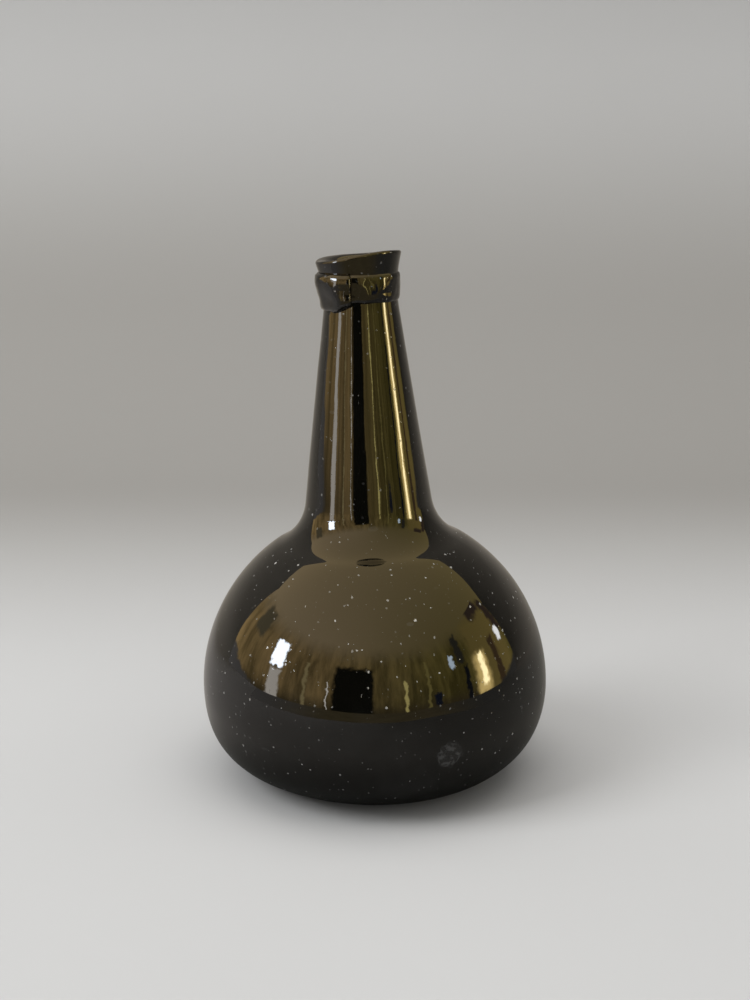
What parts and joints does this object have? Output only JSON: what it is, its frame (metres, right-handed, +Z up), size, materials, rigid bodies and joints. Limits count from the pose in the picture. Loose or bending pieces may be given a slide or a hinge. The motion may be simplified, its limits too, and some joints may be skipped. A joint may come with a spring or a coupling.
{
  "type": "onion bottle",
  "caption": "Squat free-blown glass bottle with a wide round bulb, a deep kick, a tapering leaning neck, an applied string rim and a flared lip.",
  "frame": {"origin": "on the floor, under the middle of the bulb", "axes": "+Z up along the bulb's axis; -Y is the side that faces the viewer in the picture; the neck leans towards -X"},
  "size_m": [0.14, 0.14, 0.2114],
  "materials": {
    "dark_glass": "fire-polished, glossy, nearly black olive brown",
    "rim_glass": "tooled hot, glossy, nearly black olive brown",
    "scar_glass": "rough broken glass"
  },
  "bodies": {
    "root": {"bottle_body": "dark_glass", "string_rim": "rim_glass", "pontil_scar": "scar_glass"}
  },
  "joints": []
}
